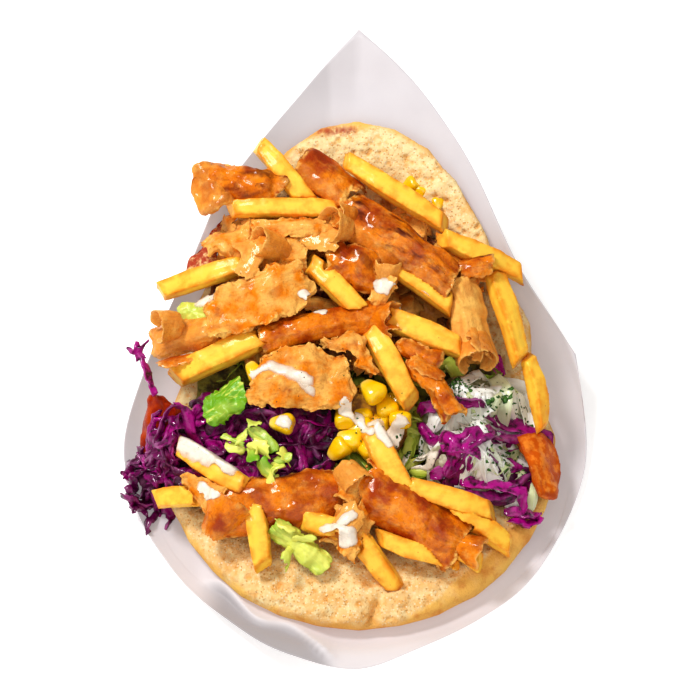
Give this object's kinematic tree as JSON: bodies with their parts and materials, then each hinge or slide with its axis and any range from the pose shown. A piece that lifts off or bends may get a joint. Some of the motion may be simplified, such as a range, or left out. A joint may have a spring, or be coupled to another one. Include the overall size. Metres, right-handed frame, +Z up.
{
  "type": "doner kebab sandwich",
  "caption": "Round flatbread folded open and heaped with shaved doner meat, chips, red cabbage, onion, lettuce, sweetcorn and yoghurt sauce, on a square sheet of white paper.",
  "frame": {"origin": "middle of the footprint of the whole, on the surface it rests on", "axes": "+Z up, +Y towards the raised back flap and the paper's tall corner, +X to the eater's right"},
  "size_m": [0.2216, 0.2954, 0.0953],
  "materials": {
    "paper": "smooth white greaseproof paper",
    "bread": "floury golden crust outside, pale open crumb inside",
    "chips": "golden fried potato, browner at the edges and ends",
    "meat": "shaved roast meat, glossy and browned on its roasted side, pale tan inside",
    "lettuce": "crisp yellow-green leaf, slightly glossy",
    "cabbage": "wet purple shreds with pale cut edges",
    "onion": "translucent white strips with chopped parsley",
    "corn": "glossy yellow kernels",
    "tomato": "glossy orange-brown slice"
  },
  "bodies": {
    "root": {"serving_paper": "paper", "flatbread": "bread", "meat_roll_top": "meat", "meat_roll_mid": "meat", "meat_leaf": "meat", "meat_roll_right": "meat", "meat_slab_mid": "meat", "meat_slab_front": "meat", "meat_fold_front": "meat", "meat_roll_front": "meat", "chip_front_top": "chips", "chip_front_long": "chips", "chip_sauced": "chips", "chip_left_mid": "chips", "chip_left_top": "chips", "chip_mid_low": "chips", "chip_mid_long": "chips", "meat_fold_back": "meat", "chip_back_flat": "chips", "meat_cube": "meat", "meat_ribbon": "meat", "meat_flake_wide": "meat", "meat_flake_left": "meat", "meat_slab_back": "meat", "chip_back_left": "chips", "chip_back_right": "chips", "chip_side_top": "chips", "chip_side_back": "chips", "chip_mid_right": "chips", "meat_scrap": "meat", "chip_under_flake": "chips", "meat_half_roll_left": "meat", "chip_mid_back": "chips", "meat_strip_mid": "meat", "meat_fold_small": "meat", "meat_strip_low": "meat", "corn_single_left": "corn", "corn_single_front": "corn", "lettuce_middle": "lettuce", "lettuce_corn": "lettuce", "meat_strip_sauced": "meat", "meat_flake_front": "meat", "chip_side_onion": "chips", "tomato_left": "tomato", "tomato_right": "tomato", "lettuce_left": "lettuce", "lettuce_front": "lettuce", "chip_front_right": "chips", "chip_front_pair": "chips", "chip_front_low": "chips", "chip_front_tip": "chips", "chip_front_mid": "chips", "chip_front_drop": "chips", "chip_front_left": "chips", "corn_heap": "corn", "cabbage_left": "cabbage", "cabbage_right": "cabbage", "onion_heap": "onion", "meat_bed": "meat", "salad_bed": "lettuce"}
  },
  "joints": []
}
